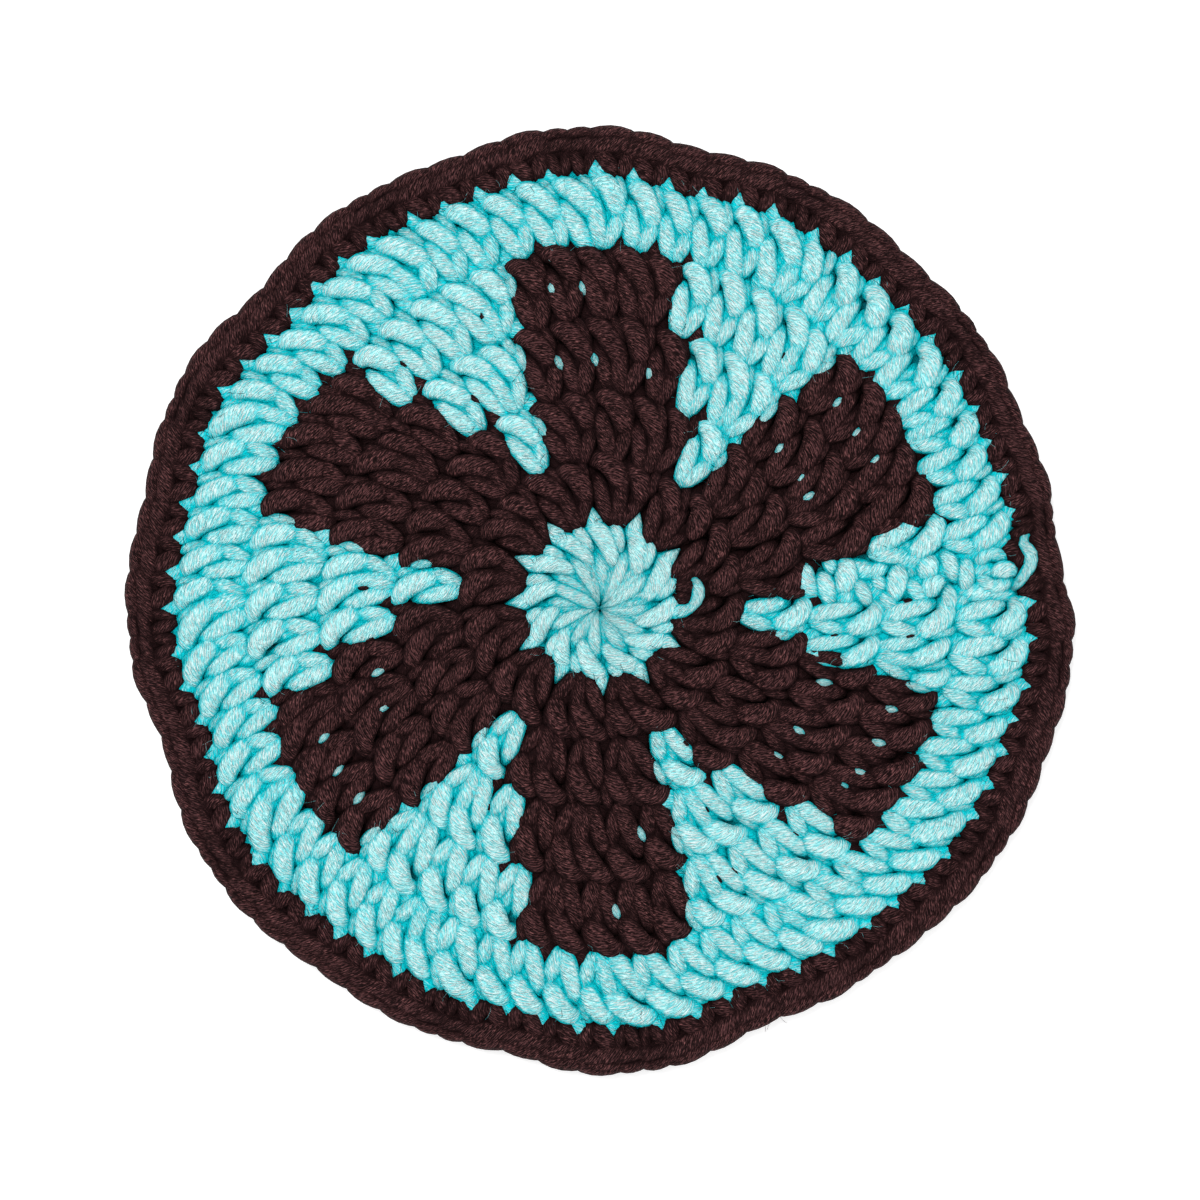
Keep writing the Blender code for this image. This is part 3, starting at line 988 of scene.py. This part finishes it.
# %% [markdown]
# ## The edging
#
# The last round is a row of short stitches in the dark yarn, with the usual chain of top loops lying
# along the rim. There are eighty-four: one in each stitch below, and two in each wide one, but two
# narrow stitches by the seam were taken together. The strands of the chain are long enough to lie
# over those of the next stitch, so that they read as a rope.

# %% Work the edging
EDGE_FOOT, EDGE_TOP, CHAIN_TOP = 53.0, 55.8, 58.6
CHAIN_TURN = 7.0
TAKEN_TOGETHER = (11, 12)
EDGE_LEFT = [(0.06, 1.20, 2.2, 2.1, 1.8), (0.18, 0.82, 2.55, 2.5, 2.1), (0.32, 0.45, 2.75, 2.6, 2.2),
             (0.45, 0.12, 2.6, 2.6, 2.1), (0.52, -0.10, 2.1, 2.1, 1.5)]
EDGE_RIGHT = [(0.92, 1.20, 2.2, 2.2, 1.8), (0.89, 0.80, 2.5, 2.5, 2.0), (0.83, 0.42, 2.65, 2.5, 2.1),
              (0.74, 0.10, 2.5, 2.3, 2.0), (0.66, -0.10, 2.0, 1.8, 1.5)]
EDGE_INNER = [(-0.55, 0.00, 1.9, 1.5, 1.6), (-0.22, 0.10, 2.5, 2.2, 1.9), (0.25, 0.20, 2.75, 2.5, 2.1),
              (0.70, 0.30, 2.75, 2.4, 2.1), (1.10, 0.41, 2.4, 2.0, 1.9), (1.40, 0.53, 1.7, 1.3, 1.5)]
EDGE_OUTER = [(-0.42, 0.44, 1.6, 1.3, 1.6), (-0.08, 0.62, 2.3, 1.9, 2.0), (0.40, 0.74, 2.55, 2.1, 2.1),
              (0.85, 0.72, 2.4, 1.9, 2.0), (1.25, 0.50, 1.8, 1.4, 1.6)]
EDGE_CORE = [(-0.60, 0.95, 1.9, 2.0, 1.9), (0.20, 0.92, 2.2, 2.6, 2.0), (0.80, 0.92, 2.2, 2.6, 2.0),
             (1.60, 0.95, 1.9, 2.0, 1.9)]
EDGE_UNDER = [(-0.50, 0.45, 1.1, 1.8, 1.8), (0.25, 0.58, 1.1, 2.4, 2.1), (1.00, 0.50, 1.1, 1.8, 1.8)]
EDGE_BACK = [(0.10, -0.1, 1.2, 1.8, 1.8), (0.45, 0.5, 1.0, 2.4, 2.0), (0.85, 1.1, 1.2, 1.9, 1.8)]

edging = Skein("edging", False, 300)
edge_spans = []
for index, stitch in enumerate(layout[-1]):
    if index == TAKEN_TOGETHER[1]:
        continue
    last = layout[-1][TAKEN_TOGETHER[1]] if index == TAKEN_TOGETHER[0] else stitch
    cuts = np.linspace(stitch.left, last.right, 3 if index in WIDE else 2)
    edge_spans += zip(cuts, cuts[1:])
print(len(edge_spans), "edging stitches")
for left, right in edge_spans:
    legs = Stitch(EDGE_FOOT, EDGE_TOP, left, right, (left + right) / 2, False, False, False)
    chain = legs._replace(low=EDGE_TOP, high=CHAIN_TOP)
    shift = small_shift(edging.chance)
    stitch_strand(edging, legs, EDGE_LEFT, "short", shift)
    stitch_strand(edging, legs, EDGE_RIGHT, "short", shift)
    stitch_strand(edging, chain, EDGE_INNER, "middle", shift, CHAIN_TURN)
    stitch_strand(edging, chain, EDGE_OUTER, "middle", shift, CHAIN_TURN)
    stitch_strand(edging, chain, EDGE_UNDER, "plain")
    stitch_strand(edging, legs, EDGE_CORE, "plain")
    stitch_strand(edging, legs, EDGE_BACK, "plain")
all_skeins.append(edging)
print(len(edging.places), "strands in the edging")

# %% [markdown]
# ## Stray hairs
#
# Cotton is never quite smooth: fibres work loose and lie across the joints. Most are kept where the
# two yarns meet, for there they show. Each is a thin strand of three sides that rests on the yarn
# below it. They are thrown at the whole coaster, and those that stay in the light yarn are dropped,
# as are most that stay in the dark.

# %% Lay the hairs
THROWN = 8500
HAIRS_REACH = 57.5
HAIR_WIDTH, HAIR_THICKNESS = 0.055, 0.04
HAIR_STEPS = 3
HAIR_DIP = 0.12
DARK_DROPPED = 0.75


def stitch_at(degrees, radius):
    """The stitch at a place on the work, and how far up it the place lies, from 0 to 1."""
    for round_, stitches in zip(ROUNDS, layout):
        if round_.foot <= radius < round_.top:
            upward = (radius - round_.foot) / (round_.top - round_.foot)
            return nearest(stitches, degrees, upward), upward
    return None, 0.0


def light_at(place):
    """Whether the yarn is the light one at a place on the work, in metres."""
    stitch, _ = stitch_at(clock_angle(place[0], place[1]), math.hypot(place[0], place[1]) / MM)
    return stitch is not None and stitch.light


hairs = {True: Skein("light_hairs", True, 400), False: Skein("dark_hairs", False, 401)}
chance = np.random.default_rng(23)
for _ in range(THROWN):
    radius = HAIRS_REACH * math.sqrt(chance.uniform(0.01, 1.0))
    places = [laid_points(np.array([[chance.uniform(0.0, 360.0), radius]]), np.zeros(1))[0]]
    bearing = chance.uniform(0.0, 2 * math.pi)
    bend = chance.normal(0.0, 1.0)
    length = chance.uniform(0.8, 2.4) * MM / HAIR_STEPS
    for _ in range(HAIR_STEPS):
        places.append(places[-1] + np.array([math.cos(bearing), math.sin(bearing), 0.0]) * length)
        bearing += bend / HAIR_STEPS
    light = light_at(places[0])
    if light == light_at(places[-1]) and (light or chance.random() < DARK_DROPPED):
        continue
    places = np.array(places)
    above = chance.uniform(-0.02, 0.10, len(places)) * MM
    places[:, 2] = relief_map.top[relief_map.cells(places)] + above
    places[[0, -1], 2] -= HAIR_DIP * MM
    hairs[light].strand(places, np.full(4, HAIR_WIDTH), np.full(4, HAIR_THICKNESS), BLANKS["hair"],
                        noted=False)
all_skeins += hairs.values()
print(sum(len(skein.places) for skein in hairs.values()), "hairs")

# %% [markdown]
# ## Into pieces
#
# With every strand noted, the map of heights is smoothed and each skein becomes a piece.

# %% Make the pieces
relief_map.smooth()
pieces = [skein.piece() for skein in all_skeins]

# %% [markdown]
# ## The ground
#
# Under the strands one sees is more yarn that one hardly sees: the loops inside each stitch and the
# second yarn carried along in it. Modelling all of that would cost a great many faces for a few dark
# specks. A thin, soft sheet through the middle of the work stands for it and closes the gaps, and it
# has the coaster's own width and length.

# %% The ground sheet
GROUND_HEIGHT = 1.9
GROUND_REACH = 57.0
GROUND_SEGMENTS = 360


def light_ground(degrees, radius):
    """Whether the sheet is light: in a light stitch, but for the quarter beside a dark one."""
    stitch, upward = stitch_at(degrees, radius)
    if stitch is None or not stitch.light:
        return False
    quarter = (stitch.right - stitch.left) / 4
    aside = turn_between(stitch.centre(upward), degrees)
    return (aside >= -quarter or stitch.before_light) and (aside <= quarter or stitch.after_light)


def ground_sheet():
    """Circles from the middle to the rim, bridged into a disc; each cell takes its stitch's yarn, and the
    whole sheet takes the painted shade of that yarn's holes.
    """
    bm = bmesh.new()
    radii = [1.2, 5.0, ROUNDS[0].top]
    radii += [edge for r in ROUNDS[1:] for edge in ((r.foot + r.top) / 2, r.top)] + [GROUND_REACH]
    rings = []
    for radius in radii:
        made = bmesh.ops.create_circle(bm, segments=GROUND_SEGMENTS, radius=radius)
        rings.append(list({edge for vert in made["verts"] for edge in vert.link_edges}))
    for low, high in zip(rings, rings[1:]):
        bmesh.ops.bridge_loops(bm, edges=low + high)
    bmesh.ops.edgeloop_fill(bm, edges=rings[0])
    bmesh.ops.recalc_face_normals(bm, faces=bm.faces)
    for vert in bm.verts:
        vert.co = clock_points(vert.co.length, clock_angle(vert.co.x, vert.co.y), GROUND_HEIGHT)
    for face in bm.faces:
        face.smooth = True
        middle = face.calc_center_median()
        light = light_ground(clock_angle(middle.x, middle.y), middle.length / MM)
        face.material_index = int(light)
    mesh = mesh_of(bm, "ground")
    # Crest -1 everywhere: the sheet stands for the hidden yarn, and it is painted all over in the shade of
    # the holes.
    crest = mesh.attributes.new(CREST, "FLOAT", "POINT")
    crest.data.foreach_set("value", [-1.0] * len(mesh.vertices))
    return mesh


ground_mesh = ground_sheet()
ground_mesh.materials.append(dark_yarn)
ground_mesh.materials.append(light_yarn)
ground = put("ground", ground_mesh)
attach(ground, "root")
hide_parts("mat")

# %% [markdown]
# ## The end
#
# The view layer is brought up to date.

# %% The end
bpy.context.view_layer.update()
